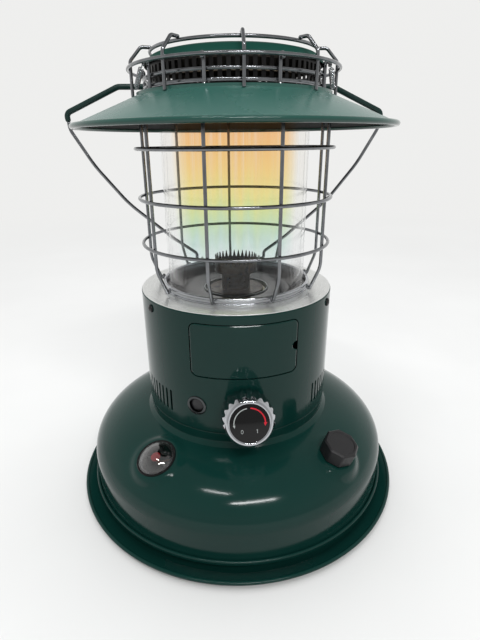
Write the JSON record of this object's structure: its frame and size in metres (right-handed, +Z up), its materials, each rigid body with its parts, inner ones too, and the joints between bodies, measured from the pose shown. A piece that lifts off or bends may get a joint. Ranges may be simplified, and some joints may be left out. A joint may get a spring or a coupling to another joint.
{
  "type": "kerosene heater",
  "caption": "Round portable kerosene heater on a wide drip tray, with a glass chimney inside a wire guard under a flared shade, a wick knob, fuel tank and folding handle.",
  "frame": {"origin": "centre of the drip tray's footprint, on the floor", "axes": "+Z up; the control knob and door face -Y, +X to the right of someone facing the knob"},
  "size_m": [0.3879, 0.388, 0.474],
  "materials": {
    "green_enamel": "dark green gloss enamel on pressed steel",
    "black_rubber": "black moulded rubber",
    "zinc_steel": "zinc plated sheet steel",
    "satin_steel": "satin stainless steel",
    "burner_steel": "heat-tinted steel",
    "wick_glass_cloth": "woven glass-fibre wick",
    "coated_glass": "heat-resisting glass with an iridescent coating",
    "chromed_wire": "bright chrome plate on wire and on the knob",
    "green_coating": "green coated steel wire",
    "black_plastic": "black moulded resin",
    "red_plastic": "red moulded resin",
    "clear_plastic": "clear moulded resin",
    "black_steel": "black oxide screw",
    "spring_steel": "spring steel wire",
    "cork": "varnished cork float on a wire arm",
    "battery_wrap": "plain wrapped dry cells"
  },
  "bodies": {
    "stand": {"drip_tray": "green_enamel", "tank_feet": "black_rubber", "tank_pan": "green_enamel", "tank_shell": "green_enamel", "draft_tube": "zinc_steel", "wick_tube": "zinc_steel", "burner_bowl": "zinc_steel", "seat_ring": "satin_steel", "housing": "green_enamel", "top_plate": "satin_steel", "housing_screws": "black_steel", "handle_brackets": "satin_steel", "knob_bush": "zinc_steel", "stop_cup": "satin_steel", "stop_spring": "spring_steel", "gauge_cup": "black_plastic", "gauge_lens": "clear_plastic", "gauge_pin": "zinc_steel", "filler_neck": "zinc_steel", "strainer": "zinc_steel", "door_hinge_pin": "zinc_steel", "battery_case": "black_plastic", "batteries": "battery_wrap", "tip_bracket": "zinc_steel", "flame_crown": "burner_steel", "flame_spreader": "burner_steel", "glass_chimney": "coated_glass", "guard_uprights": "chromed_wire", "guard_rings": "chromed_wire", "neck_rings": "chromed_wire", "shade": "green_enamel", "chimney_collar": "satin_steel", "louver_drum": "black_steel", "top_cap": "green_enamel", "crown_posts": "chromed_wire", "crown_rings": "chromed_wire", "shade_springs": "chromed_wire"},
    "wick_lifter": {"wick": "wick_glass_cloth", "wick_carrier": "zinc_steel"},
    "knob": {"knob_shell": "chromed_wire", "knob_dial": "black_plastic", "knob_shaft": "zinc_steel"},
    "stop": {"stop_button": "black_plastic"},
    "float": {"fuel_float": "cork", "gauge_flag": "red_plastic"},
    "cap_seal": {"cap_gasket": "black_rubber"},
    "cap": {"filler_cap": "black_plastic"},
    "door": {"door_panel": "green_enamel", "door_arms": "zinc_steel"},
    "handle": {"handle_legs": "chromed_wire", "handle_grip": "green_coating"},
    "lid": {"battery_lid": "black_plastic"},
    "tip_pendulum": {"tip_weight": "burner_steel"}
  },
  "joints": [
    {"name": "wick_lift", "type": "slide", "parent": "stand", "child": "wick_lifter", "axis": [0, 0, 1], "range_m": [0, 0.0104]},
    {"name": "knob_turn", "type": "hinge", "parent": "stand", "child": "knob", "pos_m": [0, -0.145, 0.153], "axis": [0, 0.9659, -0.2588], "range_deg": [0, 150]},
    {"name": "stop_press", "type": "slide", "parent": "stand", "child": "stop", "axis": [0.4617, 0.887, 0], "range_m": [0, 0.004], "stiffness_N_per_m": 600, "springref_m": -0.001},
    {"name": "float_swing", "type": "hinge", "parent": "stand", "child": "float", "pos_m": [-0.09051, -0.10523, 0.08267], "axis": [0.7581, -0.6521, 0], "range_deg": [-12, 12]},
    {"name": "cap_lift", "type": "slide", "parent": "stand", "child": "cap_seal", "axis": [0.2176, -0.2639, 0.9397], "range_m": [0, 0.04]},
    {"name": "cap_turn", "type": "hinge", "parent": "cap_seal", "child": "cap", "pos_m": [0.09414, -0.1142, 0.08723], "axis": [0.2176, -0.2639, 0.9397], "range_deg": [0, 90]},
    {"name": "door_swing", "type": "hinge", "parent": "stand", "child": "door", "pos_m": [-0.05944, -0.08141, 0.2055], "axis": [0, 0, -1], "range_deg": [0, 100]},
    {"name": "handle_fold", "type": "hinge", "parent": "stand", "child": "handle", "pos_m": [0, 0.088, 0.249], "axis": [-1, 0, 0], "range_deg": [0, 85]},
    {"name": "lid_slide", "type": "slide", "parent": "stand", "child": "lid", "axis": [0, 0, 1], "range_m": [0, 0.06]},
    {"name": "tip_swing", "type": "hinge", "parent": "stand", "child": "tip_pendulum", "pos_m": [0.055, 0.048, 0.1468], "axis": [1, 0, 0], "range_deg": [-8, 8]}
  ],
  "couplings": [
    {"joint": "wick_lift", "follows": "knob_turn", "m_per_rad": 0.003934}
  ]
}
